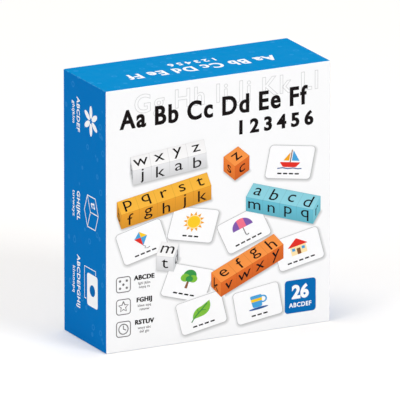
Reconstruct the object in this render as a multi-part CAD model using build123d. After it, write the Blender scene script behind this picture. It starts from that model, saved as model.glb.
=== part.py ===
from build123d import *
import os

# A boxed word game: a telescoping lid over a base tray, both wrapped board, and inside them a riser,
# an egg-crate of cells with lettered wooden cubes, two piles of picture cards and a folded rules leaflet.
# Frame: the box stands on a long side, front to -Y, up +Z, origin under the middle of its footprint.
# All lengths are in millimetres.

# Letter cubes
cube = 30.0
cube_round = 1.5
cube_columns = 5
row_colours = ("yellow", "orange", "teal", "white")

# Picture cards. Their width comes from the bay that they lie in.
card_height = 62.0
card_thick = 1.9
card_round = 5.0
card_gap = 0.03
cards_in_pile = 15
card_side_gap = 1.15
card_top_gap = 4.3

# Rules leaflet, one sheet folded once
leaflet_width = 120.0
leaflet_height = 150.0
leaflet_paper = 0.2
leaflet_fold_gap = 0.2
leaflet_lid_gap = 0.4
leaflet_cube_gap = 0.2

# Egg-crate and riser, cut from white board
insert_board = 1.0
cell_gap = 0.4
slot_gap = 0.1
crate_depth = 24.0
divider_foot = 4.0
side_channel = 11.3
riser_depth = 38.2

# Finger channel between the two piles of cards
channel_width = 14.0
channel_top_gap = 4.0

# Wrapped board of the lid and the base
paper = 0.2
board = 2.0
board_edge_round = 0.45
turn_in = 15.0
stay_leg = 18.0
stay_paper = 0.15
stay_end_gap = 3.0

# Fits between the lid, the base and what lies in them
lid_gap = 0.5
rim_short = 1.2
seat_gap = 0.3
insert_gap = 0.4
lie_gap = 0.1

# How far a cutting block runs past what it cuts
overrun = 1.0


def inset(span, step):
    return (min(span) + step, max(span) - step)


def middle(span):
    return (span[0] + span[1]) / 2


# Walls, counted inwards from the outside of the closed box
wrapped_wall = paper + board
under_stay = paper + stay_paper
edge_round = under_stay + board_edge_round
base_step = wrapped_wall + paper + lid_gap
insert_step = base_step + wrapped_wall + paper + insert_gap

# The contents set the size of the insert, and the insert sets the size of the box
pitch = cube + 2 * cell_gap + insert_board
insert_width = cube_columns * pitch + insert_board + 2 * side_channel
crate_height = divider_foot + len(row_colours) * pitch + insert_board
insert_height = crate_height + lie_gap + card_height + card_top_gap
pile_depth = cards_in_pile * (card_thick + card_gap)
contents_depth = max(cube, pile_depth, crate_depth)
leaflet_depth = 2 * leaflet_paper + leaflet_fold_gap
headroom = leaflet_lid_gap + leaflet_depth + leaflet_cube_gap
inside_depth = headroom + contents_depth + lie_gap + riser_depth + lie_gap
box_width = insert_width + 2 * insert_step
box_height = insert_height + 2 * insert_step
box_depth = inside_depth + 2 * wrapped_wall

# Places across, up and from front to back. Front is -Y, so the lid's closed face is at the low end of Y.
lid_x = (-box_width / 2, box_width / 2)
lid_z = (0, box_height)
base_x = inset(lid_x, base_step)
base_z = inset(lid_z, base_step)
insert_x = inset(lid_x, insert_step)
insert_z = inset(lid_z, insert_step)
front = -box_depth / 2
back = box_depth / 2
lid_inner_face = front + wrapped_wall
lid_rim = back - rim_short
base_rim = lid_inner_face + seat_gap
base_floor = back - wrapped_wall
panel_front = base_floor - lie_gap - riser_depth
crate_back = panel_front - lie_gap
crate_front = crate_back - crate_depth
crate_half = middle((crate_front, crate_back))
shelf_lows = [insert_z[0] + divider_foot + row * pitch for row in range(len(row_colours) + 1)]
card_shelf_top = insert_z[0] + crate_height
divider_places = [(i - cube_columns / 2) * pitch for i in range(cube_columns + 1)]


def block(x, y, z):
    """A plain block between pairs of coordinates, given in either order."""
    spans = [sorted(pair) for pair in (x, y, z)]
    sizes = [high - low for low, high in spans]
    return Pos(*[middle(span) for span in spans]) * Box(*sizes)


def rounded_block(x, y, z, radius):
    solid = block(x, y, z)
    return fillet(solid.edges(), radius)


def wrapped_tray(x, z, closed, rim):
    """Board, wrap and corner stays of a five-sided tray. It is closed at one end of Y and open at its rim."""
    inward = 1 if rim > closed else -1
    y = (closed, rim)
    outer = rounded_block(x, y, z, edge_round)
    core = rounded_block(inset(x, paper), inset(y, paper), inset(z, paper), edge_round - paper)
    core_inside = rounded_block(
        inset(x, under_stay), inset(y, under_stay), inset(z, under_stay), edge_round - under_stay
    )

    # Gummed paper strips bent round the four corners, let into the board under the wrap
    stay_y = inset(y, wrapped_wall + stay_end_gap)
    stays = []
    for corner_x, leg_x in ((x[0], stay_leg), (x[1], -stay_leg)):
        for corner_z, leg_z in ((z[0], stay_leg), (z[1], -stay_leg)):
            corner = block((corner_x, corner_x + leg_x), stay_y, (corner_z, corner_z + leg_z))
            stays.append((core - core_inside) & corner)

    # The board, hollow from its rim to the closed face
    wall_x = inset(x, wrapped_wall)
    wall_z = inset(z, wrapped_wall)
    cavity = block(wall_x, (closed + inward * wrapped_wall, rim + inward * overrun), wall_z)
    board_tray = core - cavity
    for stay in stays:
        board_tray -= stay

    # The printed paper, folded over the rim and turned in along the inside of the walls
    mouth_x = inset(wall_x, paper)
    mouth_z = inset(wall_z, paper)
    turned = rim - inward * turn_in
    mouth = block(mouth_x, (turned - inward * overrun, rim + inward * overrun), mouth_z)
    sleeve = block(wall_x, (turned, rim), wall_z) - mouth
    wrap = outer - core - mouth + sleeve
    return board_tray, wrap, stays


def riser():
    """Upside-down tray of thin board that lifts the cubes and cards up to the lid."""
    y = (panel_front, base_floor - lie_gap)
    hollow_y = (panel_front + insert_board, base_floor + overrun)
    hollow = block(inset(insert_x, insert_board), hollow_y, inset(insert_z, insert_board))
    return block(insert_x, y, insert_z) - hollow


def cell_shelf(low):
    """Level strip of the egg-crate, slotted from the back for each divider."""
    z = (low, low + insert_board)
    strip = block(insert_x, (crate_front, crate_back), z)
    for place in divider_places:
        half_slot = insert_board / 2 + slot_gap
        slot_x = (place - half_slot, place + half_slot)
        slot_y = (crate_half - slot_gap, crate_back + overrun)
        strip -= block(slot_x, slot_y, (z[0] - overrun, z[1] + overrun))
    return strip


def cell_divider(place):
    """Upright strip of the egg-crate, slotted from the front for each shelf."""
    x = (place - insert_board / 2, place + insert_board / 2)
    strip = block(x, (crate_front, crate_back), (insert_z[0], card_shelf_top))
    for low in shelf_lows:
        slot_y = (crate_front - overrun, crate_half + slot_gap)
        slot_z = (low - slot_gap, low + insert_board + slot_gap)
        strip -= block((x[0] - overrun, x[1] + overrun), slot_y, slot_z)
    return strip


def finger_channel():
    """Folded strip that keeps the two piles apart and leaves a gap for fingers."""
    x = (-channel_width / 2, channel_width / 2)
    z = (card_shelf_top + lie_gap, insert_z[1] - channel_top_gap)
    gap_y = (crate_front - overrun, crate_back - insert_board)
    gap = block(inset(x, insert_board), gap_y, (z[0] - overrun, z[1] + overrun))
    return block(x, (crate_front, crate_back), z) - gap


def letter_cube(row, column):
    """Sanded wooden cube, standing on the shelf of its cell."""
    x = (column - (cube_columns - 1) / 2) * pitch
    low = shelf_lows[row] + insert_board + lie_gap
    place_x = (x - cube / 2, x + cube / 2)
    place_y = (crate_back - cube, crate_back)
    return rounded_block(place_x, place_y, (low, low + cube), cube_round)


def card_pile(side):
    """Separate round-cornered cards, laid one on another on the riser and standing on the top shelf."""
    bay = (channel_width / 2, insert_x[1])
    centre_x = side * middle(bay)
    centre_z = card_shelf_top + lie_gap + card_height / 2
    card_width = bay[1] - bay[0] - 2 * card_side_gap
    outline = Plane.XZ * RectangleRounded(card_width, card_height, card_round)
    lowest = extrude(outline, card_thick)
    pile = []
    for layer in range(cards_in_pile):
        card_back = crate_back - layer * (card_thick + card_gap)
        pile.append(Pos(centre_x, card_back, centre_z) * lowest)
    return pile


def leaflet():
    """One sheet folded down its left edge, loose between the cubes and the lid."""
    x = (-leaflet_width / 2, leaflet_width / 2)
    y_front = lid_inner_face + leaflet_lid_gap
    y = (y_front, y_front + leaflet_depth)
    low = base_z[0] + wrapped_wall + paper + lie_gap
    z = (low, low + leaflet_height)
    fold = block((x[0] + leaflet_paper, x[1] + overrun), inset(y, leaflet_paper), inset(z, -overrun))
    return block(x, y, z) - fold


def all_nodes():
    nodes = {}
    trays = {
        "lid": wrapped_tray(lid_x, lid_z, front, lid_rim),
        "base": wrapped_tray(base_x, base_z, back, base_rim),
    }
    for name, (board_tray, wrap, stays) in trays.items():
        nodes[name + "_board"] = board_tray
        nodes[name + "_wrap"] = wrap
        nodes[name + "_corner_stays"] = stays
    nodes["riser"] = riser()
    for number, low in enumerate(shelf_lows, 1):
        nodes[f"cell_shelf_{number}"] = cell_shelf(low)
    for number, place in enumerate(divider_places, 1):
        nodes[f"cell_divider_{number}"] = cell_divider(place)
    nodes["finger_channel"] = finger_channel()
    for row, colour in enumerate(row_colours):
        for column in range(cube_columns):
            nodes[f"{colour}_cube_{column + 1}"] = letter_cube(row, column)
    nodes["word_cards_left"] = card_pile(-1)
    nodes["word_cards_right"] = card_pile(1)
    nodes["rules_leaflet"] = leaflet()
    return nodes


os.makedirs("parts", exist_ok=True)
for node, shape in all_nodes().items():
    solids = shape if isinstance(shape, list) else [shape]
    pieces = [solid for item in solids for solid in item.solids()]
    export_step(Compound(children=pieces) if len(pieces) > 1 else pieces[0], f"parts/{node}.step")
print(f"closed box {box_width:.1f} wide, {box_height:.1f} high, {box_depth:.1f} deep")
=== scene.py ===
import math

import bmesh
import bpy
from mathutils import Matrix, Vector


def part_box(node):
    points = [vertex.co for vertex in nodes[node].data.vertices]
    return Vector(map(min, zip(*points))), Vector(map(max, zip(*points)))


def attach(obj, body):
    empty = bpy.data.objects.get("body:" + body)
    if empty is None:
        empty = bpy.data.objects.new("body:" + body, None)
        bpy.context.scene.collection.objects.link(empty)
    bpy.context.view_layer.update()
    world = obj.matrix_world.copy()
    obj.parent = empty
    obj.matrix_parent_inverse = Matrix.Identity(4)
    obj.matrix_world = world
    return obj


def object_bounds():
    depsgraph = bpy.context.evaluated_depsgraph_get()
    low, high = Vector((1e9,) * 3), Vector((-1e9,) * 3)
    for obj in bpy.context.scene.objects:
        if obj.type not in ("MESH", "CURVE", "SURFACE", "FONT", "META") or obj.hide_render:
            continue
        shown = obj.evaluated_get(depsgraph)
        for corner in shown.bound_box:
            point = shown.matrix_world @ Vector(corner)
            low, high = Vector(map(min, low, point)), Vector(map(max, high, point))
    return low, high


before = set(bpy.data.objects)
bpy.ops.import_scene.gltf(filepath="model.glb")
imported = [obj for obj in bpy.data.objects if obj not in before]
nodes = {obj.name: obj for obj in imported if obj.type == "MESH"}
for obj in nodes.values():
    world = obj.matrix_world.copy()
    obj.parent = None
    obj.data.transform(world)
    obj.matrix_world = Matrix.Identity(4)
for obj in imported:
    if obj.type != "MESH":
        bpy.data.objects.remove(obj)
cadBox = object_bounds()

# The drawing is in millimetres, the scene in metres
mm = 0.001


def nodeBox(name):
    low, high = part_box(name)
    return low / mm, high / mm


def addObject(name, data):
    thing = bpy.data.objects.new(name, data)
    bpy.context.scene.collection.objects.link(thing)
    return thing


def toMesh(bm, name):
    mesh = bpy.data.meshes.new(name)
    bm.to_mesh(mesh)
    bm.free()
    return mesh


lidLow, lidHigh = nodeBox("lid_wrap")
baseLow, baseHigh = nodeBox("base_wrap")
print("stage: frame loaded,", len(nodes), "nodes")

# Printing inks and paints, as they look on the page
colours = {
    "paper": (245, 246, 248), "black": (27, 23, 24), "grey": (112, 110, 112), "paleGrey": (172, 171, 175),
    "mist": (212, 213, 215), "blue": (12, 105, 176), "white": (247, 248, 250), "red": (222, 52, 44),
    "yellow": (247, 201, 45), "gold": (236, 164, 40), "green": (60, 148, 74), "leaf": (126, 188, 66),
    "brown": (134, 84, 48), "sky": (72, 160, 216), "navy": (38, 84, 150), "pink": (236, 116, 140),
    "purple": (128, 92, 170), "cream": (250, 226, 174),
    "tealTop": (139, 205, 219), "tealSide": (104, 186, 206), "tealEnd": (122, 197, 213),
    "whiteTop": (240, 240, 241), "whiteSide": (226, 227, 230), "whiteEnd": (212, 214, 218),
    "orangeTop": (240, 146, 72), "orangeSide": (218, 106, 46), "orangeEnd": (230, 124, 56),
    "yellowTop": (241, 180, 66), "yellowSide": (226, 156, 52), "yellowEnd": (218, 150, 56),
}


def linear(name, share=1.0):
    channels = [c / 255 for c in colours[name]]
    curved = [c / 12.92 if c <= 0.04045 else ((c + 0.055) / 1.055) ** 2.4 for c in channels]
    return tuple(min(1.0, c * share) for c in curved) + (1.0,)


# Node helpers: a value that is a socket is linked, any other is set
def setSocket(tree, socket, value):
    if isinstance(value, bpy.types.NodeSocket):
        tree.links.new(value, socket)
    else:
        socket.default_value = value


def addNode(tree, kind, sockets=None, **settings):
    node = tree.nodes.new(kind)
    for key, value in settings.items():
        setattr(node, key, value)
    for key, value in (sockets or {}).items():
        setSocket(tree, node.inputs[key], value)
    return node


def mathNode(tree, operation, *values, clamp=False):
    sockets = dict(enumerate(values))
    return addNode(tree, "ShaderNodeMath", sockets, operation=operation, use_clamp=clamp).outputs[0]


def mixColour(tree, share, first, second):
    sockets = {0: share, 6: first, 7: second}
    return addNode(tree, "ShaderNodeMix", sockets, data_type="RGBA").outputs[2]


def ramp(tree, value, low, high, first=0.0, last=1.0):
    sockets = {"Value": value, "From Min": low, "From Max": high, "To Min": first, "To Max": last}
    return addNode(tree, "ShaderNodeMapRange", sockets, clamp=True).outputs[0]


def noise(tree, vector, scale, detail=3.0, rough=0.55):
    sockets = {"Vector": vector, "Scale": scale, "Detail": detail, "Roughness": rough}
    return addNode(tree, "ShaderNodeTexNoise", sockets).outputs[0]


def splitAxes(tree, vector):
    return addNode(tree, "ShaderNodeSeparateXYZ", {0: vector}).outputs


def startMaterial(name, **constants):
    mat = bpy.data.materials.new(name)
    mat.use_nodes = True
    tree = mat.node_tree
    shader = tree.nodes["Principled BSDF"]
    for key, value in constants.items():
        shader.inputs[key.replace("_", " ")].default_value = value
    place = tree.nodes.new("ShaderNodeTexCoord").outputs["Object"]
    return mat, tree, shader, place


def addBump(tree, shader, height, strength, distance=0.1 * mm):
    bump = addNode(tree, "ShaderNodeBump", {"Strength": strength, "Distance": distance, "Height": height})
    tree.links.new(bump.outputs[0], shader.inputs["Normal"])


noiseSpan = (0.3, 0.7)  # most of a noise lies between these


def unevenRough(tree, shader, value, low, high):
    tree.links.new(ramp(tree, value, *noiseSpan, low, high), shader.inputs["Roughness"])


# Film over the print: satin, with the faint unevenness of the board under it
film = {
    "rough": (0.44, 0.58), "inkRough": 0.5, "shine": 0.004, "bump": 0.10,
    "ripple": 140.0, "rippleDetail": 2.0, "fibre": 2600.0, "fibreShare": 0.35,
}


def laminate(tree, shader, place):
    ripple = noise(tree, place, film["ripple"], film["rippleDetail"])
    fibre = noise(tree, place, film["fibre"])
    height = mathNode(tree, "MULTIPLY_ADD", fibre, film["fibreShare"], ripple)
    addBump(tree, shader, height, film["bump"])
    return ripple


inkMaterials = {}


def ink(name):
    if name not in inkMaterials:
        mat, tree, shader, place = startMaterial(
            "ink_" + name, Roughness=film["inkRough"], Specular_IOR_Level=film["shine"])
        if name == "tone":  # shaded print: its tones are on the points of the mesh
            tone = addNode(tree, "ShaderNodeAttribute", attribute_name="tone").outputs["Color"]
            tree.links.new(tone, shader.inputs["Base Color"])
        else:
            shader.inputs["Base Color"].default_value = linear(name)
        laminate(tree, shader, place)
        inkMaterials[name] = mat
    return inkMaterials[name]


# Wrapping paper: white front on the lid, blue round it with faint rings; the sides a darker blue as painted
# shade and the top and bottom a lighter one as painted light; paler along the folds, part wear and part
# painted highlight
wrapPrint = {
    # the side blue holds painted shade and the end blue, on top and bottom, painted light
    "paintedShadeSideBlue": (0.0018, 0.172, 0.519, 1.0), "paintedLightEndBlue": (0.0010, 0.250, 0.582, 1.0),
    "paleBlue": (0.100, 0.420, 0.800, 1.0), "frontStep": 0.32 * mm, "endStep": 0.4 * mm,
    "ringScale": 84.0, "ringAt": 0.17, "ringWidth": 0.06, "ringShare": 0.15,
    "rubAndHighlightWidth": 0.7 * mm, "rubAndHighlightShare": 0.12, "patches": 380.0, "patchDetail": 4.0, "patchSpan": (0.42, 0.66),
}


def fromBoxEdge(tree, parts, low, high):
    # how far a point of the skin is from the nearest edge of the box
    away = []
    for axis in range(3):
        fromLow = mathNode(tree, "SUBTRACT", parts[axis], low[axis] * mm)
        fromHigh = mathNode(tree, "SUBTRACT", high[axis] * mm, parts[axis])
        away.append(mathNode(tree, "MINIMUM", fromLow, fromHigh))
    pairs = [mathNode(tree, "MAXIMUM", away[a], away[b]) for a, b in ((0, 1), (1, 2), (0, 2))]
    nearest = mathNode(tree, "MINIMUM", pairs[0], mathNode(tree, "MINIMUM", pairs[1], pairs[2]))
    return nearest, away[2]


def wearAndHighlightShare(tree, place, fromEdge, spec):
    # patches along the edges of a box, where it is rubbed; on the wrapping paper they are also a painted
    # highlight along the folds
    rub = ramp(tree, fromEdge, 0.0, spec["rubAndHighlightWidth"], spec["rubAndHighlightShare"], 0.0)
    patches = noise(tree, place, spec["patches"], spec["patchDetail"])
    return mathNode(tree, "MULTIPLY", rub, ramp(tree, patches, *spec["patchSpan"]))


def wrapFinish(name, low, high, whiteFront):
    mat, tree, shader, place = startMaterial(name, Specular_IOR_Level=film["shine"])
    parts = splitAxes(tree, place)
    fromEdge, fromEnd = fromBoxEdge(tree, parts, low, high)
    # the top and bottom get a lighter blue than the sides: painted light on the ends, painted shade on the
    # sides
    isPaintedLightEnd = mathNode(tree, "LESS_THAN", fromEnd, wrapPrint["endStep"])
    colour = mixColour(tree, isPaintedLightEnd, wrapPrint["paintedShadeSideBlue"], wrapPrint["paintedLightEndBlue"])
    cells = addNode(tree, "ShaderNodeTexVoronoi", {"Vector": place, "Scale": wrapPrint["ringScale"]})
    offRing = mathNode(tree, "SUBTRACT", cells.outputs["Distance"], wrapPrint["ringAt"])
    offRing = mathNode(tree, "ABSOLUTE", offRing)
    ringWidth = wrapPrint["ringWidth"]
    ring = ramp(tree, offRing, ringWidth / 2, ringWidth, wrapPrint["ringShare"], 0.0)
    colour = mixColour(tree, ring, colour, wrapPrint["paleBlue"])
    if whiteFront:
        isFront = mathNode(tree, "LESS_THAN", parts[1], low.y * mm + wrapPrint["frontStep"])
        colour = mixColour(tree, isFront, colour, linear("paper"))
    # the folds turn paler towards the paper white: rubbed wear and a painted highlight
    colour = mixColour(tree, wearAndHighlightShare(tree, place, fromEdge, wrapPrint), colour, linear("paper"))
    tree.links.new(colour, shader.inputs["Base Color"])
    ripple = laminate(tree, shader, place)
    unevenRough(tree, shader, ripple, *film["rough"])
    return mat


# Bare boards and papers: flecked pulp, greyer where a coated board is cut
pulps = {
    "greyboard": {
        "base": (0.36, 0.33, 0.29, 1), "fleck": (0.21, 0.185, 0.16, 1), "rough": 0.88, "bump": 0.35},
    "stay_paper": {
        "base": (0.50, 0.37, 0.22, 1), "fleck": (0.37, 0.26, 0.15, 1), "rough": 0.80, "bump": 0.25},
    "insert_board": {
        "base": (0.82, 0.82, 0.80, 1), "fleck": (0.76, 0.755, 0.73, 1), "rough": 0.70, "bump": 0.12},
    "card_stock": {
        "base": (0.86, 0.86, 0.845, 1), "fleck": (0.82, 0.82, 0.80, 1), "rough": 0.46, "bump": 0.08},
    "leaflet_paper": {
        "base": (0.85, 0.85, 0.83, 1), "fleck": (0.80, 0.80, 0.775, 1), "rough": 0.66, "bump": 0.15},
}
pulpGrain = {
    "fleck": 1500.0, "fleckDetail": 5.0, "fleckRough": 0.7, "fleckSpan": (0.50, 0.72),
    "cloud": 90.0, "cloudSpan": (0.45, 0.8), "cloudShare": 0.35, "shine": 0.25,
    "roughStep": 0.05, "cutTone": (0.50, 0.475, 0.43, 1), "cutSlant": 0.5,
}
cardEdge = {"cards": 15, "gap": 0.03, "skin": 0.32}  # a cut card is grey between two white skins


def cardCore(tree, place, node):
    # 1 inside the grey core of each card of a pile, counted from the lowest card
    low, high = nodeBox(node)
    pitch = (high.y - low.y + cardEdge["gap"]) / cardEdge["cards"]
    thick = pitch - cardEdge["gap"]
    fromBack = mathNode(tree, "SUBTRACT", high.y * mm, splitAxes(tree, place)[1])
    across = mathNode(tree, "FRACT", mathNode(tree, "DIVIDE", fromBack, pitch * mm))
    offMiddle = mathNode(tree, "ABSOLUTE", mathNode(tree, "SUBTRACT", across, thick / 2 / pitch))
    return mathNode(tree, "LESS_THAN", offMiddle, (thick / 2 - cardEdge["skin"]) / pitch)


def pulpFinish(slot, coatedAxis=None, pile=None):
    # coatedAxis is the axis that the board's coated faces look along
    spec = pulps[slot]
    mat, tree, shader, place = startMaterial(slot + "_finish", Specular_IOR_Level=pulpGrain["shine"])
    flecks = noise(tree, place, pulpGrain["fleck"], pulpGrain["fleckDetail"], pulpGrain["fleckRough"])
    clouds = noise(tree, place, pulpGrain["cloud"])
    clouds = ramp(tree, clouds, *pulpGrain["cloudSpan"], 0.0, pulpGrain["cloudShare"])
    share = mathNode(tree, "ADD", ramp(tree, flecks, *pulpGrain["fleckSpan"]), clouds, clamp=True)
    colour = mixColour(tree, share, spec["base"], spec["fleck"])
    if coatedAxis is not None:
        normal = splitAxes(tree, tree.nodes.new("ShaderNodeNewGeometry").outputs["Normal"])
        slant = mathNode(tree, "ABSOLUTE", normal[coatedAxis])
        isCut = mathNode(tree, "LESS_THAN", slant, pulpGrain["cutSlant"])
        if pile:
            isCut = mathNode(tree, "MULTIPLY", isCut, cardCore(tree, place, pile))
        colour = mixColour(tree, isCut, colour, pulpGrain["cutTone"])
    tree.links.new(colour, shader.inputs["Base Color"])
    smoothest, roughest = spec["rough"] - pulpGrain["roughStep"], spec["rough"] + pulpGrain["roughStep"]
    unevenRough(tree, shader, flecks, smoothest, roughest)
    addBump(tree, shader, flecks, spec["bump"])
    return mat


# Painted wood of the letter cubes: brushed grain, and bare wood showing at rubbed edges
cubePaint = {
    "yellow": (0.870, 0.440, 0.052, 1), "orange": (0.830, 0.260, 0.048, 1), "teal": (0.220, 0.560, 0.660, 1),
    "white": (0.830, 0.835, 0.840, 1), "wood": (0.640, 0.450, 0.260, 1),
    "shine": 0.3, "rough": (0.38, 0.52), "bump": 0.14,
    "grain": (420.0, 420.0, 60.0), "grainDetail": 4.0, "grainRough": 0.6,
    "grainSpan": (0.45, 0.75), "grainShare": 0.32, "grainDark": 0.80,
    "rubAndHighlightWidth": 0.8 * mm, "rubAndHighlightShare": 0.55, "patches": 260.0, "patchDetail": 4.0, "patchSpan": (0.48, 0.64),
}


def paintFinish(colour, box):
    paint = cubePaint[colour]
    name = colour + "_paint_" + str(len(bpy.data.materials))
    mat, tree, shader, place = startMaterial(name, Specular_IOR_Level=cubePaint["shine"])
    stretched = addNode(tree, "ShaderNodeMapping", {"Vector": place, "Scale": cubePaint["grain"]}).outputs[0]
    grain = noise(tree, stretched, 1.0, cubePaint["grainDetail"], cubePaint["grainRough"])
    deep = tuple(c * cubePaint["grainDark"] for c in paint[:3]) + (1.0,)
    streaks = ramp(tree, grain, *cubePaint["grainSpan"], 0.0, cubePaint["grainShare"])
    tone = mixColour(tree, streaks, paint, deep)
    fromEdge = fromBoxEdge(tree, splitAxes(tree, place), *box)[0]
    tone = mixColour(tree, wearAndHighlightShare(tree, place, fromEdge, cubePaint), tone, cubePaint["wood"])
    tree.links.new(tone, shader.inputs["Base Color"])
    unevenRough(tree, shader, grain, *cubePaint["rough"])
    addBump(tree, shader, grain, cubePaint["bump"])
    return mat


def dress(node, mat):
    data = nodes[node].data
    data.materials.clear()
    data.materials.append(mat)


def dressNodes():
    dress("lid_wrap", wrapFinish("lid_paper_finish", lidLow, lidHigh, True))
    dress("base_wrap", wrapFinish("base_paper_finish", baseLow, baseHigh, False))
    greyboard = pulpFinish("greyboard")
    stayPaper = pulpFinish("stay_paper")
    for tray in ("lid", "base"):
        dress(tray + "_board", greyboard)
        dress(tray + "_corner_stays", stayPaper)
    insertBoards = {
        "riser": pulpFinish("insert_board"), "cell_shelf": pulpFinish("insert_board", 2),
        "cell_divider": pulpFinish("insert_board", 0), "finger_channel": pulpFinish("insert_board"),
    }
    for name in nodes:
        for start, mat in insertBoards.items():
            if name.startswith(start):
                dress(name, mat)
        if name.startswith("word_cards"):
            dress(name, pulpFinish("card_stock", 1, name))
        if "_cube_" in name:
            dress(name, paintFinish(name.split("_")[0], nodeBox(name)))
    dress("rules_leaflet", pulpFinish("leaflet_paper"))


dressNodes()
print("stage: finishes on the nodes")

# Print: thin flat shapes, one layer over another, in the millimetres of the face that they lie on
layer = {"thick": 0.02, "step": 0.012, "lift": 0.008, "weld": 1e-5}
levels = {
    "ghost": 0, "title": 3, "rowShadow": 3, "card": 4, "raisedCard": 12, "badge": 14,
    "row": 16, "rowFace": 17, "rowLetter": 19,
}


def flatPoly(points, rounding=0.0, segments=4):
    bm = bmesh.new()
    corners = [bm.verts.new((x, y, 0)) for x, y in points]
    bm.faces.new(corners)
    if rounding:
        bmesh.ops.bevel(bm, geom=corners, offset=rounding, offset_type="OFFSET", affect="VERTICES",
                        segments=segments, profile=0.5, material=-1, clamp_overlap=True)
    return bm


def flatBlock(wide, high, rounding=0.0):
    x, y = wide / 2, high / 2
    return flatPoly([(-x, -y), (x, -y), (x, y), (-x, y)], rounding)


def flatDisc(radiusX, radiusY=None, steps=32):
    bm = bmesh.new()
    bmesh.ops.create_circle(bm, cap_ends=True, segments=steps, radius=radiusX)
    bmesh.ops.scale(bm, vec=(1, (radiusY or radiusX) / radiusX, 1), verts=bm.verts)
    return bm


def insetRim(bm, width):
    return bmesh.ops.inset_region(
        bm, faces=bm.faces[:], thickness=width, use_even_offset=True, use_boundary=True)["faces"]


def hollow(bm, width):
    rim = insetRim(bm, width)
    inner = [face for face in bm.faces if face not in rim]
    bmesh.ops.delete(bm, geom=inner, context="FACES_ONLY")
    return bm


def thicken(bm):
    grown = bmesh.ops.extrude_face_region(bm, geom=bm.faces[:])
    tops = [item for item in grown["geom"] if isinstance(item, bmesh.types.BMVert)]
    bmesh.ops.translate(bm, verts=tops, vec=(0, 0, layer["thick"]))
    return bm


def curveShape(curve):
    # a text or a line as a closed mesh, pressed flat to the thickness of a layer
    carrier = addObject("carrier", curve)
    bpy.context.view_layer.update()
    mesh = bpy.data.meshes.new_from_object(carrier.evaluated_get(bpy.context.evaluated_depsgraph_get()))
    bm = bmesh.new()
    bm.from_mesh(mesh)
    bpy.data.meshes.remove(mesh)
    bpy.data.objects.remove(carrier)
    bpy.data.curves.remove(curve)
    bmesh.ops.remove_doubles(bm, verts=bm.verts[:], dist=layer["weld"])
    heights = [vert.co.z for vert in bm.verts]
    depth = max(heights) - min(heights)
    bmesh.ops.translate(bm, verts=bm.verts, vec=(0, 0, -min(heights)))
    bmesh.ops.scale(bm, vec=(1, 1, layer["thick"] / depth), verts=bm.verts)
    return bm


# Letters: a capital's height at a text size of one, steps along a curve, depth until they are pressed flat
lettering = {"capShare": 0.686, "curveSteps": 4, "depth": 0.05}


def flatText(body, high, weight=0.0, align="CENTER", spacing=1.0, wordGap=1.0):
    curve = bpy.data.curves.new("letters", "FONT")
    curve.body = body
    curve.align_x = align
    curve.space_character = spacing
    curve.space_word = wordGap
    curve.resolution_u = lettering["curveSteps"]
    curve.offset = weight
    curve.extrude = lettering["depth"]
    bm = curveShape(curve)
    size = high / lettering["capShare"]
    bmesh.ops.scale(bm, vec=(size, size, 1), verts=bm.verts)
    return bm


def span(bm, axis):
    places = [vert.co[axis] for vert in bm.verts]
    return min(places), max(places)


def fitWidth(bm, width):
    low, high = span(bm, 0)
    bmesh.ops.scale(bm, vec=(width / (high - low), 1, 1), verts=bm.verts)
    return bm


def centred(bm):
    middle = [sum(span(bm, axis)) / 2 for axis in (0, 1)]
    bmesh.ops.translate(bm, verts=bm.verts, vec=(-middle[0], -middle[1], 0))
    return bm


def flatLine(points, width, closed=False):
    curve = bpy.data.curves.new("line", "CURVE")
    curve.dimensions = "3D"
    curve.bevel_depth = width / 2
    curve.bevel_resolution = 1
    curve.use_fill_caps = True
    spline = curve.splines.new("POLY")
    spline.points.add(len(points) - 1)
    for knot, (x, y) in zip(spline.points, points):
        knot.co = (x, y, 0, 1)
    spline.use_cyclic_u = closed
    return curveShape(curve)


def arcPoints(centre, radius, start, end, steps=12):
    turns = [math.radians(start + (end - start) * i / steps) for i in range(steps + 1)]
    return [(centre[0] + radius * math.cos(turn), centre[1] + radius * math.sin(turn)) for turn in turns]


def shift(x, y, turn=0.0, size=1.0):
    turned = Matrix.Rotation(math.radians(turn), 4, "Z") @ Matrix.Diagonal((size, size, 1, 1))
    return Matrix.Translation((x, y, 0)) @ turned


def leaned(origin, across, up):
    # local x runs along across and local y along up, both on the page
    basis = Matrix.Identity(4)
    basis.col[0] = (across[0], across[1], 0, 0)
    basis.col[1] = (up[0], up[1], 0, 0)
    basis.col[3] = (origin[0], origin[1], 0, 1)
    return basis


def onFace(origin, right, up):
    right, up = Vector(right), Vector(up)
    turned = Matrix((right, up, right.cross(up))).transposed().to_4x4()
    return Matrix.Translation(origin) @ turned


lidMiddle = (lidLow + lidHigh) / 2
faces = {
    "front": onFace((lidMiddle.x, lidLow.y, lidLow.z), (1, 0, 0), (0, 0, 1)),
    "left": onFace((lidLow.x, lidMiddle.y, lidLow.z), (0, -1, 0), (0, 0, 1)),
    "right": onFace((lidHigh.x, lidMiddle.y, lidLow.z), (0, 1, 0), (0, 0, 1)),
    "top": onFace((lidMiddle.x, lidMiddle.y, lidHigh.z), (-1, 0, 0), (0, -1, 0)),
}


def startPrint(place):
    return {"bm": bmesh.new(), "inks": [], "place": place}


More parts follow.
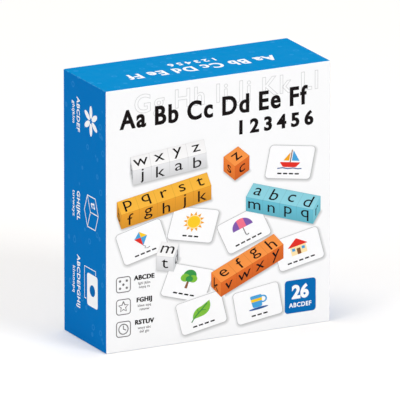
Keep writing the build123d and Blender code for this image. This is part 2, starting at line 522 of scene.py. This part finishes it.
def stamp(sheet, bm, inkName, level=0.0, basis=None, solid=False, tones=None):
    # one shape of a print gets its tones, its thickness, its place and its ink
    tone = bm.verts.layers.float_color.new("tone")
    for vert in bm.verts:
        vert[tone] = tones(vert.co) if tones else linear(inkName)
    if not solid:
        thicken(bm)
    bmesh.ops.recalc_face_normals(bm, faces=bm.faces[:])
    bmesh.ops.translate(bm, verts=bm.verts, vec=(0, 0, layer["lift"] + level * layer["step"]))
    place = sheet["place"] @ (basis or Matrix.Identity(4))
    bmesh.ops.transform(bm, matrix=place, verts=bm.verts)
    if place.determinant() < 0:  # a mirrored place turns the faces inside out
        bmesh.ops.reverse_faces(bm, faces=bm.faces[:])
    if inkName not in sheet["inks"]:
        sheet["inks"].append(inkName)
    for face in bm.faces:
        face.material_index = sheet["inks"].index(inkName)
    mesh = toMesh(bm, "stamp")
    sheet["bm"].from_mesh(mesh)
    bpy.data.meshes.remove(mesh)


def finishPrint(sheet, name, body):
    bm = sheet["bm"]
    bmesh.ops.scale(bm, vec=(mm, mm, mm), verts=bm.verts)
    mesh = toMesh(bm, name)
    for inkName in sheet["inks"]:
        mesh.materials.append(ink(inkName))
    piece = addObject(name, mesh)
    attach(piece, body)


def lidPrint(sheet, name):
    finishPrint(sheet, "lid_print_" + name, "lid")


# Title of the lid: plain letters and numbers, with pale outlined letters behind
title = {
    "letters": "Aa Bb Cc Dd Ee Ff", "high": 14.2, "weight": 0.026, "width": 162.0, "at": (-4.4, 178.4),
    "numbers": "1 2 3 4 5 6", "numbersHigh": 10.4, "numbersWeight": 0.034, "numbersAt": (82.0, 161.4),
    "ghost": "Gg Hh Ii Jj Kk Ll", "ghostHigh": 14.2, "ghostAt": (-73.0, 189.4),
    "ghostInks": {"mist": 0.026, "paper": 0.0},  # the wider letters show as an outline of the narrower ones
    "gaps": {"spacing": 1.18, "wordGap": 0.8}, "strike": (0.2, 0.03),
}


def strikeTwice(sheet, makeText, inkName, level, basis):
    # the same letters twice, a little apart, for a bolder stem
    across, up = title["strike"]
    for step, side in enumerate((-1, 1)):
        stamp(sheet, makeText(), inkName, level + step, basis @ shift(side * across, side * up), solid=True)


def titleLetters(high, width):
    return fitWidth(flatText(title["letters"], high, title["weight"], **title["gaps"]), width)


def titleNumbers(high, align):
    return flatText(title["numbers"], high, title["numbersWeight"], align)


def printTitle():
    sheet = startPrint(faces["front"])
    for step, (inkName, weight) in enumerate(title["ghostInks"].items()):
        ghost = flatText(title["ghost"], title["ghostHigh"], weight, "LEFT", **title["gaps"])
        stamp(sheet, ghost, inkName, levels["ghost"] + step, shift(*title["ghostAt"]), solid=True)
    lidPrint(sheet, "ghost_letters")

    def letters():
        return titleLetters(title["high"], title["width"])

    def numbers():
        return titleNumbers(title["numbersHigh"], "RIGHT")

    sheet = startPrint(faces["front"])
    strikeTwice(sheet, letters, "black", levels["title"], shift(*title["at"]))
    strikeTwice(sheet, numbers, "black", levels["title"], shift(*title["numbersAt"]))
    lidPrint(sheet, "title")


printTitle()


def starPoints(centre, outer, inner, arms):
    turns = [i * math.pi / arms for i in range(2 * arms)]
    reach = [inner if i % 2 else outer for i in range(2 * arms)]
    return [(centre[0] + r * math.sin(turn), centre[1] + r * math.cos(turn)) for r, turn in zip(reach, turns)]


# Small pictures for the cards, on a card 35 by 27: shape, ink, then places and sizes
motifs = {
    "sun": [
        ("poly", "gold", starPoints((0, 2.3), 8.2, 5.2, 12), 0), ("disc", "cream", (0, 2.3), 5.5, 5.5),
        ("disc", "yellow", (0, 2.3), 4.8, 4.8)],
    "boat": [
        ("poly", "red", [(-8, 0), (8, 0), (5, -4), (-5, -4)], 0.8),
        ("poly", "brown", [(-0.4, 0), (0.4, 0), (0.4, 10), (-0.4, 10)], 0),
        ("poly", "sky", [(1, 1.2), (7, 1.2), (1, 9.6)], 0.4),
        ("poly", "gold", [(-1, 1.2), (-5.5, 1.2), (-1, 8)], 0.4),
        ("line", "navy", [(-9, -5.2), (-5, -4.6), (-1, -5.2), (3, -4.6), (7, -5.2), (9.5, -4.8)], 0.8)],
    "tree": [
        ("poly", "brown", [(-1, -4.5), (1, -4.5), (0.7, 3), (-0.7, 3)], 0.3),
        ("disc", "green", (0, 6), 5, 4.6), ("disc", "leaf", (-3, 3.6), 3.4, 3.2),
        ("disc", "leaf", (3.2, 3.8), 3.2, 3.0), ("disc", "green", (0.4, 3.2), 2.8, 2.4)],
    "house": [
        ("poly", "cream", [(-6, -4), (6, -4), (6, 3.5), (-6, 3.5)], 0.3),
        ("poly", "red", [(-7.8, 3), (7.8, 3), (0, 9.5)], 0.7),
        ("poly", "brown", [(-1.4, -4), (1.4, -4), (1.4, 1), (-1.4, 1)], 0.3),
        ("poly", "sky", [(2.6, -0.6), (4.9, -0.6), (4.9, 1.7), (2.6, 1.7)], 0.2),
        ("poly", "sky", [(-4.9, -0.6), (-2.6, -0.6), (-2.6, 1.7), (-4.9, 1.7)], 0.2)],
    "umbrella": [
        ("poly", "purple", arcPoints((0, 2), 8, 180, 0, 16), 0),
        ("poly", "pink", [(-2.7, 2)] + arcPoints((0, 2), 8, 110, 70, 4) + [(2.7, 2)], 0),
        ("line", "grey", [(0, 2), (0, -3.4)] + arcPoints((1.2, -3.6), 1.2, 180, 330, 8), 0.7)],
    "kite": [
        ("poly", "sky", [(0, 9), (5, 4), (0, -3), (-5, 4)], 0.3),
        ("poly", "yellow", [(0, 9), (5, 4), (0, 4)], 0.1), ("poly", "red", [(0, -3), (-5, 4), (0, 4)], 0.1),
        ("line", "grey", [(0, -3), (1.5, -4.2), (0.5, -5.4), (2.6, -6.2), (4.5, -5.6)], 0.5)],
    "cup": [
        ("ring", "sky", (4.4, 2.8), 3.1, 1.2), ("poly", "sky", [(-5, 7), (4, 7), (3, -3), (-4, -3)], 1.2),
        ("poly", "yellow", [(-4.75, 4.2), (3.75, 4.2), (3.55, 1.8), (-4.5, 1.8)], 0),
        ("disc", "navy", (0, -4), 7.4, 0.9)],
    "leaf": [
        ("poly", "leaf",
         arcPoints((1.5, -3), 8.5, 180, 92, 8) + [(8, 8.5)] + arcPoints((-0.5, 6), 8.5, 0, -88, 8), 0),
        ("line", "green", [(-8.5, -5), (-4, -0.5), (0.5, 2.5), (6, 6.8)], 0.8),
        ("line", "green", [(-2, 1), (-2.2, 4)], 0.5), ("line", "green", [(0.5, 2.5), (3.8, 1.6)], 0.5)],
}
motifMiddle = 2.3  # how high the middle of a picture is above the middle of its card


def drawShapes(sheet, shapes, level, basis):
    for step, (kind, inkName, *sizes) in enumerate(shapes):
        at = basis
        if kind in ("disc", "ring"):
            at = basis @ shift(*sizes[0])
        if kind == "disc":
            bm = flatDisc(sizes[1], sizes[2])
        elif kind == "ring":
            bm = hollow(flatDisc(sizes[1]), sizes[2])
        elif kind == "poly":
            bm = flatPoly(sizes[0], sizes[1])
        else:
            bm = flatLine(sizes[0], sizes[1])
        stamp(sheet, bm, inkName, level + step, at, solid=kind == "line")


# Drawn things lie on a drawn table, seen from above: tilt shortens what runs away, rise what stands up
drawnView = {
    "tilt": 0.70, "rise": 0.71, "cardTilt": 0.86, "cube": 16.0, "letter": 0.76, "seam": 0.012, "round": 0.05,
    "seamTone": 0.82, "edgeTone": 1.04, "topFall": 0.05, "sideFall": 0.20,  # sides darken towards the table
}
# Shadows: how wide their rim is, the shares of it that fade and that reach under, and levels for neighbours
shadow = {
    "spread": 1.9, "fade": 1.3, "under": 0.2, "dark": 0.60, "drop": (0.6, -0.9), "levels": 3, "rowRound": 1.0,
}


def softShadow(sheet, wide, high, rounding, level, basis):
    # a tone that runs from grey under the shape to the white of the paper at its rim
    spread = shadow["spread"]
    bm = flatBlock(wide + 2 * spread, high + 2 * spread, rounding + spread)
    insetRim(bm, spread * shadow["fade"])
    inner = (wide / 2 - spread * shadow["under"], high / 2 - spread * shadow["under"])

    def tones(co):
        under = abs(co.x) <= inner[0] and abs(co.y) <= inner[1]
        return linear("paper", shadow["dark"] if under else 1.0)

    stamp(sheet, bm, "tone", level, Matrix.Translation((*shadow["drop"], 0)) @ basis, tones=tones)


# Drawn cards: middle, turn on the table, level of one that lies over another
cardDrawing = {
    "size": (35.0, 27.0), "scale": 1.15, "round": 3.0, "line": 0.35,
    "blank": (3.3, 1.2, 0.4), "blankStep": 1.35, "blankLow": -9.2,
}
drawnCards = [
    {"motif": "kite", "blanks": 4, "at": (-66, 86), "turn": 16},
    {"motif": "sun", "blanks": 3, "at": (-22, 94), "turn": -14},
    {"motif": "boat", "blanks": 4, "at": (62, 133), "turn": -10},
    {"motif": "umbrella", "blanks": 5, "at": (22, 84), "turn": 22},
    {"motif": "house", "blanks": 5, "at": (69.5, 62), "turn": 13},
    {"motif": "tree", "blanks": 4, "at": (-27, 48), "turn": -19},
    {"motif": "cup", "blanks": 3, "at": (34, 23), "turn": 9},
    {"motif": "leaf", "blanks": 4, "at": (-15, 22), "turn": 12, "lies": "raisedCard"},
]


def pictureCard(sheet, motif, blanks, level, basis):
    drawShapes(sheet, motifs[motif], level, basis)
    wide, high, rounding = cardDrawing["blank"]
    for i in range(blanks):
        x = (i - (blanks - 1) / 2) * wide * cardDrawing["blankStep"]
        at = basis @ shift(x, cardDrawing["blankLow"])
        stamp(sheet, flatBlock(wide, high, rounding), "black", level, at)


def printCards():
    wide, high = cardDrawing["size"]
    scale, line, rounding = (cardDrawing[key] for key in ("scale", "line", "round"))
    for number, spec in enumerate(drawnCards, 1):
        turn = math.radians(spec["turn"])
        across = Vector((math.cos(turn), drawnView["cardTilt"] * math.sin(turn))) * scale
        up = Vector((-math.sin(turn), drawnView["cardTilt"] * math.cos(turn))) * scale
        basis = leaned(spec["at"], across, up)
        level = levels[spec.get("lies", "card")]
        sheet = startPrint(faces["front"])
        shade = level - levels["card"] + number % shadow["levels"]
        softShadow(sheet, wide, high, rounding, shade, basis)
        stamp(sheet, flatBlock(wide, high, rounding), "paleGrey", level, basis)
        stamp(sheet, flatBlock(wide - 2 * line, high - 2 * line, rounding - line), "white", level + 1, basis)
        pictureCard(sheet, spec["motif"], spec["blanks"], level + 2, basis)
        lidPrint(sheet, f"card_{number}_{spec['motif']}")


printCards()

# Drawn rows of letter cubes: near top corner, turn on the table, letters from left to right
drawnRows = [
    {"tone": "yellow", "at": (-84, 110), "turn": 14, "top": "pqrst", "side": "fghjk", "end": "b"},
    {"tone": "teal", "at": (82, 92), "turn": -24, "top": "abcd", "side": "mnpq", "end": "r"},
    {"tone": "orange", "at": (2, 44), "turn": 32, "top": "efgh", "side": "vwxy", "end": "k"},
    {"tone": "white", "at": (-74, 144), "turn": 8, "top": "wxyz", "side": "jkab", "end": "m"},
    {"tone": "orange", "at": (14, 136), "turn": 38, "top": "z", "side": "c", "end": "s"},
    {"tone": "white", "at": (-39, 70), "turn": -18, "top": "m", "side": "t", "end": "d"},
]


def drawRow(sheet, letters, spec):
    turn = math.radians(spec["turn"])
    edge, tilt = drawnView["cube"], drawnView["tilt"]
    count = len(spec["top"])
    along = Vector((math.cos(turn), tilt * math.sin(turn))) * edge
    back = Vector((-math.sin(turn), tilt * math.cos(turn))) * edge
    drop = Vector((0, -drawnView["rise"] * edge))
    order = range(count)
    if spec["turn"] < 0:  # the near end is the right one
        along = -along
        order = range(count - 1, -1, -1)
    near = Vector(spec["at"])
    ground = leaned(near + drop + (along * count + back) / 2, along.normalized(), back.normalized())
    softShadow(sheet, along.length * count, back.length, shadow["rowRound"], levels["rowShadow"], ground)
    sides = {"Top": (along, back, count), "Side": (along, drop, count), "End": (back, drop, 1)}
    seam, rounding = drawnView["seam"], drawnView["round"]
    for part, (first, second, cells) in sides.items():
        tint = spec["tone"] + part
        body = leaned(near, first * cells, second)
        square = flatPoly([(0, 0), (1, 0), (1, 1), (0, 1)])
        stamp(sheet, square, "tone", levels["row"], body,
              tones=lambda co: linear(tint, drawnView["seamTone"]))
        fall = drawnView["topFall"] if part == "Top" else drawnView["sideFall"]
        for i in range(cells):
            cell = leaned(near + first * (i + 0.5) + second / 2, first, second)
            face = flatBlock(1 - 2 * seam, 1 - 2 * seam, rounding)
            stamp(sheet, face, "tone", levels["rowFace"], cell,
                  tones=lambda co: linear(tint, drawnView["edgeTone"] - fall * (co.y + 0.5)))
            right = first if first.x > 0 else -first
            rise = second if part == "Top" else -second
            text = spec[part.lower()][order[i] if cells == count else 0]
            mark = centred(flatText(text, drawnView["letter"]))
            spot = leaned(near + first * (i + 0.5) + second / 2, right, rise)
            stamp(letters, mark, "black", levels["rowLetter"], spot, solid=True)


def printRows():
    for number, spec in enumerate(drawnRows, 1):
        sheet = startPrint(faces["front"])
        letters = startPrint(faces["front"])
        drawRow(sheet, letters, spec)
        lidPrint(sheet, f"blocks_{number}_{spec['tone']}")
        lidPrint(letters, f"block_letters_{number}")


printRows()

# Small print of the front: three line icons with letters beside them, and a numbered badge
noteDots = ((-2.9, -2.9), (2.9, -2.9), (0, 0), (-2.9, 2.9), (2.9, 2.9))
noteStar = starPoints((0, 0), 4.4, 2.0, 5)
notes = {
    "at": [(-82.2, 54.0), (-82.2, 36.1), (-82.2, 18.2)], "size": 12.8, "round": 2.6, "line": 0.75,
    "pictures": [
        [("disc", "grey", dot, 1.0, 1.0) for dot in noteDots],
        [("line", "grey", noteStar + noteStar[:1], 0.85)],
        [("ring", "grey", (0, 0), 4.4, 0.85), ("line", "grey", [(0, 2.9), (0, 0), (2.2, -0.9)], 0.85)],
    ],
    "labels": [
        ("ABCDE", "fghi jklm", "nopq rs"), ("FGHIJ", "klmn opq", "rstuvw"), ("RSTUV", "wxyz abc", "def ghi")],
    "labelAt": 18.0, "labelUp": 2.2, "labelHigh": 3.5, "linesUp": (-1.7, -4.7), "lineHigh": 1.9,
    "weight": 0.026, "spacing": 1.1,
}
badge = {
    "at": (71.0, 24.2), "size": (27.0, 26.5), "round": 2.6,
    "number": "26", "numberHigh": 10.0, "numberWeight": 0.045, "numberLow": -1.4,
    "letters": "ABCDEF", "lettersHigh": 3.4, "lettersLow": -8.6,
}


def printNote(sheet, picture, label, basis):
    size, weight, spacing = (notes[key] for key in ("size", "weight", "spacing"))
    stamp(sheet, hollow(flatBlock(size, size, notes["round"]), notes["line"]), "grey", 0, basis)
    drawShapes(sheet, picture, 0, basis)

    def heading():
        return flatText(label[0], notes["labelHigh"], weight, spacing=spacing)

    strikeTwice(sheet, heading, "black", 0, basis @ shift(notes["labelAt"], notes["labelUp"]))
    for letters, up in zip(label[1:], notes["linesUp"]):
        line = flatText(letters, notes["lineHigh"], weight, spacing=spacing)
        stamp(sheet, line, "grey", 0, basis @ shift(notes["labelAt"], up), solid=True)


def printNotes():
    sheet = startPrint(faces["front"])
    for at, picture, label in zip(notes["at"], notes["pictures"], notes["labels"]):
        printNote(sheet, picture, label, shift(*at))
    lidPrint(sheet, "notes")


def printBadge():
    sheet = startPrint(faces["front"])
    basis = shift(*badge["at"])
    level = levels["badge"]
    stamp(sheet, flatBlock(*badge["size"], badge["round"]), "blue", level, basis)
    number = flatText(badge["number"], badge["numberHigh"], badge["numberWeight"])
    stamp(sheet, number, "white", level + 1, basis @ shift(0, badge["numberLow"]), solid=True)
    letters = flatText(badge["letters"], badge["lettersHigh"], notes["weight"], spacing=notes["spacing"])
    stamp(sheet, letters, "white", level + 1, basis @ shift(0, badge["lettersLow"]), solid=True)
    lidPrint(sheet, "badge")


printNotes()
printBadge()
print("stage: front print laid")

# Sides of the lid: white line pictures with letters beside them, read with the box turned
sidePrint = {
    "line": 0.95, "petalAt": (10.8, 180.0), "cubeAt": (10.8, 107.0), "cardsAt": (10.8, 46.0),
    "labels": {
        "petalAt": ("ABCDEF", "ghijklm"), "cubeAt": ("GHIJKL", "tuvwxyz"),
        "cardsAt": ("ABCDEFGHIJ", "klmnopq")},
    "lines": [(-13.2, 4.8, 0.026), (-20.6, 3.9, 0.016)],  # across, high, weight
}
sideFlower = {"petals": 6, "petal": (2.3, 5.2), "petalSteps": 20, "petalOut": 7.0}
sideCube = {"edge": 14.5, "spread": (0.87, 0.36), "rise": 0.92, "low": 0.85, "letter": "a", "letterHigh": 0.7}
sideCards = {"size": (26.0, 18.0, 2.4), "shift": (-1.5, -2.0), "disc": 4.6}
cardBehind = {"left": 3.0, "low": 1.5, "out": 2.5, "tuck": (0.8, 0.5)}  # only its edge shows


def drawFlower(sheet, at):
    for i in range(sideFlower["petals"]):
        out = shift(0, 0, 360 * i / sideFlower["petals"]) @ shift(0, sideFlower["petalOut"])
        stamp(sheet, flatDisc(*sideFlower["petal"], steps=sideFlower["petalSteps"]), "white", 0, at @ out)


def drawLineCube(sheet, at):
    # cube in outline: its rim, the three edges that meet in its near corner, and a letter
    edge = sideCube["edge"]
    spread, slope = sideCube["spread"]
    right, left = Vector((spread, slope)) * edge, Vector((-spread, slope)) * edge
    rise = Vector((0, sideCube["rise"])) * edge
    low = Vector((0, -edge * sideCube["low"]))
    near = low + rise
    rim = [low, low + right, near + right, near + right + left, near + left, low + left]
    stamp(sheet, flatLine(rim, sidePrint["line"], closed=True), "white", 0, at, solid=True)
    for step, end in enumerate((low, near + right, near + left), 1):
        stamp(sheet, flatLine([near, end], sidePrint["line"]), "white", step, at, solid=True)
    mark = centred(flatText(sideCube["letter"], sideCube["letterHigh"]))
    stamp(sheet, mark, "white", 0, at @ leaned(low + (right + rise) / 2, right, rise), solid=True)


def drawTwoCards(sheet, at):
    wide, high, rounding = sideCards["size"]
    inFront = at @ shift(*sideCards["shift"])
    stamp(sheet, flatBlock(wide, high, rounding), "white", 1, inFront)
    left, right = -wide / 2 + cardBehind["left"], wide / 2 + cardBehind["out"]
    low, top = -high / 2 + cardBehind["low"], high / 2 + cardBehind["out"]
    tuckAcross, tuckDown = cardBehind["tuck"]
    start, end = (left, high / 2 - tuckDown), (wide / 2 - tuckAcross, low)
    edge = [start, (left, top), (right, top), (right, low), end]
    stamp(sheet, flatLine(edge, sidePrint["line"]), "white", 0, at, solid=True)
    stamp(sheet, flatDisc(sideCards["disc"]), "blue", 2, inFront)


def printSide(face):
    sheet = startPrint(faces[face])
    drawFlower(sheet, shift(*sidePrint["petalAt"]))
    drawLineCube(sheet, shift(*sidePrint["cubeAt"], 90))
    drawTwoCards(sheet, shift(*sidePrint["cardsAt"], 90))
    for key, label in sidePrint["labels"].items():
        for letters, (across, high, weight) in zip(label, sidePrint["lines"]):
            line = flatText(letters, high, weight, spacing=notes["spacing"])
            stamp(sheet, line, "white", 0, shift(across, sidePrint[key][1], -90), solid=True)
    lidPrint(sheet, face + "_side")


# Top of the lid: letters and numbers that read from behind the box
topPrint = {"high": 12.0, "width": 128.0, "at": (0.0, 2.5), "numbersHigh": 6.6, "numbersAt": (0.0, -11.0)}


def printTop():
    sheet = startPrint(faces["top"])

    def letters():
        return titleLetters(topPrint["high"], topPrint["width"])

    strikeTwice(sheet, letters, "white", 0, shift(*topPrint["at"]))
    numbers = titleNumbers(topPrint["numbersHigh"], "CENTER")
    stamp(sheet, numbers, "white", 0, shift(*topPrint["numbersAt"]), solid=True)
    lidPrint(sheet, "top")


printSide("left")
printSide("right")
printTop()
print("stage: sides and top printed")

# Letters on the six faces of each wooden cube, each face with its own right and up
cubeLetters = {"high": 18.0, "weight": 0.016, "alphabet": "abcdefghijklmnopqrstuvwxyz", "step": 7, "start": 3}
cubeFaces = [  # outwards, right, up
    ((0, -1, 0), (1, 0, 0), (0, 0, 1)),
    ((0, 1, 0), (-1, 0, 0), (0, 0, 1)),
    ((1, 0, 0), (0, 1, 0), (0, 0, 1)),
    ((-1, 0, 0), (0, -1, 0), (0, 0, 1)),
    ((0, 0, 1), (1, 0, 0), (0, 1, 0)),
    ((0, 0, -1), (1, 0, 0), (0, -1, 0)),
]


def letterCubes():
    turn = cubeLetters["start"]
    for name in sorted(node for node in nodes if "_cube_" in node):
        low, high = nodeBox(name)
        sheet = startPrint(None)
        for out, right, up in cubeFaces:
            middle = (low + high) / 2 + Vector(out) * (high.x - low.x) / 2
            sheet["place"] = onFace(middle, right, up)
            letter = cubeLetters["alphabet"][turn % len(cubeLetters["alphabet"])]
            turn += cubeLetters["step"]
            mark = centred(flatText(letter, cubeLetters["high"], cubeLetters["weight"]))
            stamp(sheet, mark, "black", 0, solid=True)
        finishPrint(sheet, name + "_letters", name)


# Print of each pile of cards: the picture of its top card and the back of its lowest one
pileCards = {"word_cards_left": ("left_cards", "sun", 3), "word_cards_right": ("right_cards", "house", 5)}
pilePicture = {"size": 2.2, "border": 3.0, "line": 0.6, "round": 3.2}
pileBack = {
    "border": 3.4, "round": 3.0, "disc": 15.0, "letters": "Aa", "lettersHigh": 12.0,
    "square": 7.0, "squareRound": 1.2, "squareIn": 7.0,
    "corners": {"yellowTop": (-1, 1), "orangeTop": (1, 1), "tealTop": (-1, -1), "whiteTop": (1, -1)},
}


def printTopCard(sheet, wide, tall, motif, blanks):
    border = 2 * pilePicture["border"]
    frameLine = flatBlock(wide - border, tall - border, pilePicture["round"])
    stamp(sheet, hollow(frameLine, pilePicture["line"]), "paleGrey")
    pictureCard(sheet, motif, blanks, 0, shift(0, 0, size=pilePicture["size"]))


def printCardBack(sheet, wide, tall):
    border, square, inwards = (pileBack[key] for key in ("border", "square", "squareIn"))
    stamp(sheet, flatBlock(wide - 2 * border, tall - 2 * border, pileBack["round"]), "blue")
    stamp(sheet, flatDisc(pileBack["disc"]), "white", 1)
    letters = centred(flatText(pileBack["letters"], pileBack["lettersHigh"], title["weight"]))
    stamp(sheet, letters, "blue", 2, solid=True)
    for inkName, (sideways, upwards) in pileBack["corners"].items():
        at = shift(sideways * (wide / 2 - border - inwards), upwards * (tall / 2 - border - inwards))
        stamp(sheet, flatBlock(square, square, pileBack["squareRound"]), inkName, 1, at)


def printPiles():
    for name, (body, motif, blanks) in pileCards.items():
        low, high = nodeBox(name)
        middle = (low + high) / 2
        wide, tall = high.x - low.x, high.z - low.z
        sheet = startPrint(onFace((middle.x, low.y, middle.z), (1, 0, 0), (0, 0, 1)))
        printTopCard(sheet, wide, tall, motif, blanks)
        finishPrint(sheet, name + "_picture", body)
        sheet = startPrint(onFace((middle.x, high.y, middle.z), (-1, 0, 0), (0, 0, 1)))
        printCardBack(sheet, wide, tall)
        finishPrint(sheet, name + "_back", body)


# Words of the steps, as short rounded bars: lengths and gaps in bar heights, of which rounding is a third
wordBars = {"lengths": (5, 3, 6, 2, 4, 7, 3, 5), "gap": 0.8, "roundPart": 3}


def wordLine(sheet, inkName, long, thick, basis, first):
    # from local x 0 to about long, each letter as wide as the bar is thick
    left = 0.0
    for length in wordBars["lengths"][first:] + wordBars["lengths"][:first]:
        wide = min(length * thick, long - left)
        if wide < thick:
            return
        bar = flatBlock(wide, thick, thick / wordBars["roundPart"])
        stamp(sheet, bar, inkName, 0, basis @ shift(left + wide / 2, 0))
        left += wide + thick * wordBars["gap"]


# Numbered steps, each with bars for words and a small picture, on the leaflet and on the back of the base
leafletSteps = {
    "margin": 9.0, "heading": "Aa Bb Cc Dd", "headingHigh": 7.0, "headingGap": 9.0,
    "first": 1, "stepDrop": 40.0, "disc": 4.2, "number": 5.0, "wordsIn": 3,
    "bar": 1.3, "barStep": 3.6, "shares": (1.0, 0.94, 0.98, 0.72, 0.97, 0.9, 0.55),
    "pictures": ("boat", "cup", "tree"), "pictureSize": 1.0,
    "panel": (26.0, 22.0), "panelRound": 2.0, "panelLine": 0.5,
    "inks": {
        "heading": "blue", "disc": "blue", "number": "white",
        "lead": "black", "words": "grey", "panel": "paleGrey"},
}
leafletBack = {**leafletSteps, "first": 4, "heading": "Ee Ff Gg Hh", "pictures": ("kite", "leaf", "house")}
backSteps = {
    "margin": 20.0, "heading": "Aa Bb Cc Dd", "headingHigh": 11.0, "headingGap": 14.0,
    "first": 1, "stepDrop": 38.5, "disc": 6.0, "number": 7.0, "wordsIn": 3,
    "bar": 2.1, "barStep": 5.9, "shares": (0.86, 0.97, 1.0, 0.92, 0.60),
    "pictures": ("sun", "house", "umbrella", "kite"), "pictureSize": 1.35,
    "panel": (38.0, 30.0), "panelRound": 3.0, "panelLine": 0.0,
    "inks": {**dict.fromkeys(leafletSteps["inks"], "white"), "number": "blue"},
}


def printSteps(sheet, spec, wide, tall):
    inks, margin, disc = spec["inks"], spec["margin"], spec["disc"]
    panelWide, panelHigh = spec["panel"]
    belowHeading = tall - margin - spec["headingHigh"]
    heading = flatText(spec["heading"], spec["headingHigh"], title["weight"], "LEFT")
    stamp(sheet, heading, inks["heading"], 0, shift(margin, belowHeading), solid=True)
    left = margin + spec["wordsIn"] * disc
    room = wide - left - 2 * margin - panelWide
    for step, picture in enumerate(spec["pictures"]):
        top = belowHeading - spec["headingGap"] - step * spec["stepDrop"]
        centre = shift(margin + disc, top - disc)
        stamp(sheet, flatDisc(disc), inks["disc"], 0, centre)
        number = centred(flatText(str(spec["first"] + step), spec["number"], title["numbersWeight"]))
        stamp(sheet, number, inks["number"], 1, centre, solid=True)
        for line, share in enumerate(spec["shares"]):
            start = shift(left, top - spec["bar"] - line * spec["barStep"])
            inkName = inks["words"] if line else inks["lead"]
            first = (line + step) % len(wordBars["lengths"])
            wordLine(sheet, inkName, room * share, spec["bar"], start, first)
        box = shift(wide - margin - panelWide / 2, top - panelHigh / 2)
        panel = flatBlock(panelWide, panelHigh, spec["panelRound"])
        if spec["panelLine"]:
            hollow(panel, spec["panelLine"])
        stamp(sheet, panel, inks["panel"], 0, box)
        size = spec["pictureSize"]
        drawShapes(sheet, motifs[picture], 1, box @ shift(0, motifMiddle * -size, size=size))


def printLeaflet():
    low, high = nodeBox("rules_leaflet")
    pages = {
        "rules_leaflet_print": (leafletSteps, onFace(low, (1, 0, 0), (0, 0, 1))),
        "rules_leaflet_back": (leafletBack, onFace((high.x, high.y, low.z), (-1, 0, 0), (0, 0, 1))),
    }
    for name, (spec, place) in pages.items():
        sheet = startPrint(place)
        printSteps(sheet, spec, high.x - low.x, high.z - low.z)
        finishPrint(sheet, name, "leaflet")


def printBack():
    sheet = startPrint(onFace((baseHigh.x, baseHigh.y, baseLow.z), (-1, 0, 0), (0, 0, 1)))
    printSteps(sheet, backSteps, baseHigh.x - baseLow.x, baseHigh.z - baseLow.z)
    finishPrint(sheet, "base_print_back", "base")


letterCubes()
printPiles()
printLeaflet()
printBack()
print("stage: cubes lettered, cards, leaflet and back printed")

# Floor, light and camera
studio = {
    "floor": 8.0, "floorDrop": 0.03 * mm, "floorTone": (0.90, 0.880, 0.858, 1.0), "floorRough": 0.9,
    "floorGlow": 0.13, "glowTone": (1.0, 0.99, 0.98, 1.0), "skyLight": 0.42, "skyTone": (1, 1, 1, 1),
}
lamps = [
    {"name": "key", "at": (2.0, -4.4, 3.2), "size": 2.6, "watts": 126.0},
    {"name": "overhead", "at": (-0.3, 0.5, 5.0), "size": 3.0, "watts": 100.0},
    {"name": "fill", "at": (-5.0, -1.6, 2.0), "size": 2.6, "watts": 80.0},
]


def buildFloor():
    bm = bmesh.new()
    bmesh.ops.create_grid(bm, x_segments=1, y_segments=1, size=studio["floor"])
    bmesh.ops.translate(bm, verts=bm.verts, vec=(0, 0, -studio["floorDrop"]))
    mesh = toMesh(bm, "floor")
    mat, tree, shader = startMaterial(
        "floor_finish", Base_Color=studio["floorTone"], Roughness=studio["floorRough"],
        Specular_IOR_Level=0.0, Emission_Color=studio["glowTone"])[:3]
    seen = tree.nodes.new("ShaderNodeLightPath").outputs["Is Camera Ray"]
    tree.links.new(mathNode(tree, "MULTIPLY", seen, studio["floorGlow"]), shader.inputs["Emission Strength"])
    mesh.materials.append(mat)
    floor = addObject("floor", mesh)


def buildSky():
    world = bpy.data.worlds.new("studio")
    world.use_nodes = True
    bpy.context.scene.world = world
    tree = world.node_tree
    rays = tree.nodes.new("ShaderNodeLightPath").outputs
    seen = mathNode(tree, "MAXIMUM", rays["Is Camera Ray"], rays["Is Glossy Ray"])
    seen = mathNode(tree, "MAXIMUM", seen, rays["Is Transmission Ray"])
    background = tree.nodes["Background"]
    background.inputs["Color"].default_value = studio["skyTone"]
    tree.links.new(ramp(tree, seen, 0.0, 1.0, studio["skyLight"], 1.0), background.inputs["Strength"])


def buildLamps():
    middle = (cadBox[0] + cadBox[1]) / 2
    for spec in lamps:
        data = bpy.data.lights.new(spec["name"], "AREA")
        data.shape = "DISK"
        data.size = spec["size"]
        data.energy = spec["watts"]
        lamp = addObject(spec["name"], data)
        lamp.location = spec["at"]
        lamp.rotation_euler = (middle - lamp.location).to_track_quat("-Z", "Y").to_euler()


# Camera of the photograph: a long lens from the left front, a little above
lens = {
    "turn": -27.07, "rise": 16.4, "lens": 1200.0, "frame": 309.0 * mm, "right": 2.52 * mm, "down": 3.71 * mm,
    "clip": (0.1, 3),  # nearest and farthest that it sees, for a box one away
}


def buildCamera():
    data = bpy.data.cameras.new("camera")
    data.lens = lens["lens"]
    turn, rise = math.radians(lens["turn"]), math.radians(lens["rise"])
    back = Vector((math.sin(turn) * math.cos(rise), -math.cos(turn) * math.cos(rise), math.sin(rise)))
    aim = (-back).to_track_quat("-Z", "Y")
    target = (cadBox[0] + cadBox[1]) / 2 + aim @ Vector((lens["right"], -lens["down"], 0))
    away = lens["frame"] * lens["lens"] / data.sensor_width
    data.clip_start, data.clip_end = (away * share for share in lens["clip"])
    camera = addObject("camera", data)
    camera.location = target + back * away
    camera.rotation_euler = aim.to_euler()
    bpy.context.scene.camera = camera


buildFloor()
buildSky()
buildLamps()
buildCamera()
bpy.context.scene.view_settings.view_transform = "Standard"
print("stage: floor, light and camera set")
